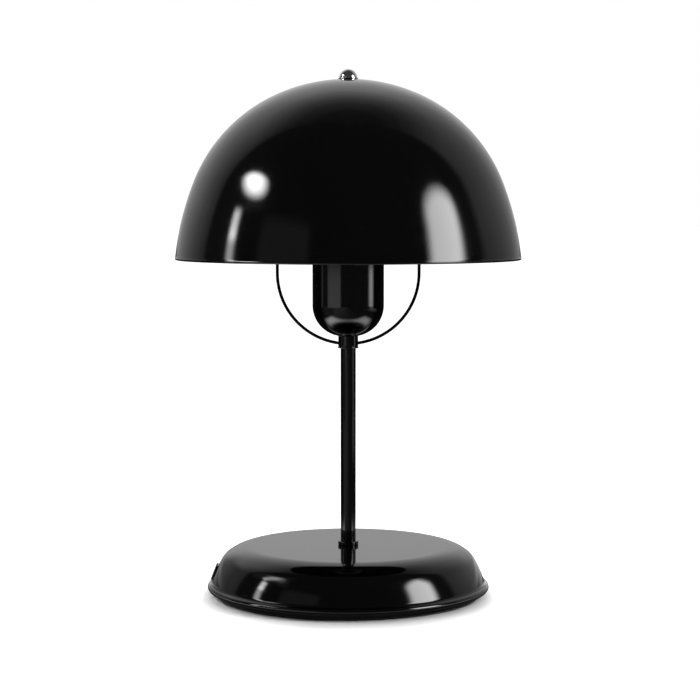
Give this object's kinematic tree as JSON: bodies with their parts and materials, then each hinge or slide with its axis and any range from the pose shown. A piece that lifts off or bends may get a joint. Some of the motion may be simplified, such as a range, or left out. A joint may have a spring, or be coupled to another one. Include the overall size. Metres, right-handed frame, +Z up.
{
  "type": "desk lamp",
  "caption": "Table lamp with a domed black metal shade on a wire harp, a lampholder cup, a slim stem and a round weighted base.",
  "frame": {"origin": "centre of the underside of the base, on the table", "axes": "+Z up along the stem, X in the plane of the harp, cord inlet on the -X side"},
  "size_m": [0.25, 0.25, 0.3816],
  "materials": {
    "black_lacquer": "high-gloss black lacquer on steel",
    "chrome": "polished",
    "zinc_steel": "zinc plated",
    "cast_iron": "as cast, dark primer",
    "felt": "pressed felt",
    "black_rubber": "matt moulded",
    "black_phenolic": "moulded",
    "porcelain": "glazed",
    "brass": "bright",
    "nickel_sheet": "pressed sheet",
    "white_plastic": "moulded",
    "opal_plastic": "opal diffuser",
    "black_glass": "glossy insulator",
    "brown_sheath": "lead sheath",
    "blue_sheath": "lead sheath"
  },
  "bodies": {
    "stand": {"felt_pad": "felt", "base_plate": "black_lacquer", "plate_screws": "zinc_steel", "base_weight": "cast_iron", "base_washer": "zinc_steel", "base_nut": "zinc_steel", "base_shell": "black_lacquer", "cord_bush": "black_rubber", "terminal_block": "white_plastic", "block_clamp_screws": "brass", "block_mount_screw": "zinc_steel", "live_lead": "brown_sheath", "neutral_lead": "blue_sheath", "stem_ring": "black_lacquer", "stem_tube": "black_lacquer", "neck_locknut": "black_lacquer", "neck_collar": "black_lacquer", "harp_wire": "black_lacquer", "holder_cup": "black_lacquer", "cup_washer": "zinc_steel", "cup_nut": "zinc_steel", "holder_cap": "black_phenolic", "holder_insert": "porcelain", "terminal_posts": "brass", "terminal_screws": "zinc_steel", "screw_shell": "nickel_sheet", "centre_contact": "brass", "holder_skirt": "black_phenolic", "finial_stud": "zinc_steel", "shade_washer": "black_rubber"},
    "shade": {"shade_dome": "black_lacquer"},
    "finial_lift": {"finial_washer": "chrome"},
    "finial": {"finial_cap": "chrome"},
    "bulb_tip": {"bulb_contact": "brass"},
    "bulb": {"bulb_insulator": "black_glass", "bulb_cap": "nickel_sheet", "bulb_body": "white_plastic", "bulb_globe": "opal_plastic"}
  },
  "joints": [
    {"name": "shade_swivel", "type": "hinge", "parent": "stand", "child": "shade", "pos_m": [0, 0, 0.3734], "axis": [0, 0, 1], "continuous": true},
    {"name": "finial_rise", "type": "slide", "parent": "stand", "child": "finial_lift", "axis": [0, 0, 1], "range_m": [0, 0.004]},
    {"name": "finial_turn", "type": "hinge", "parent": "finial_lift", "child": "finial", "pos_m": [0, 0, 0.378], "axis": [0, 0, 1], "range_deg": [0, 1440]},
    {"name": "bulb_rise", "type": "slide", "parent": "stand", "child": "bulb_tip", "axis": [0, 0, 1], "range_m": [0, 0.01451]},
    {"name": "bulb_turn", "type": "hinge", "parent": "bulb_tip", "child": "bulb", "pos_m": [0, 0, 0.23], "axis": [0, 0, 1], "range_deg": [0, 1440]}
  ],
  "couplings": [
    {"joint": "finial_turn", "follows": "finial_rise", "rad_per_m": 6283.2},
    {"joint": "bulb_turn", "follows": "bulb_rise", "rad_per_m": 1731.6}
  ]
}
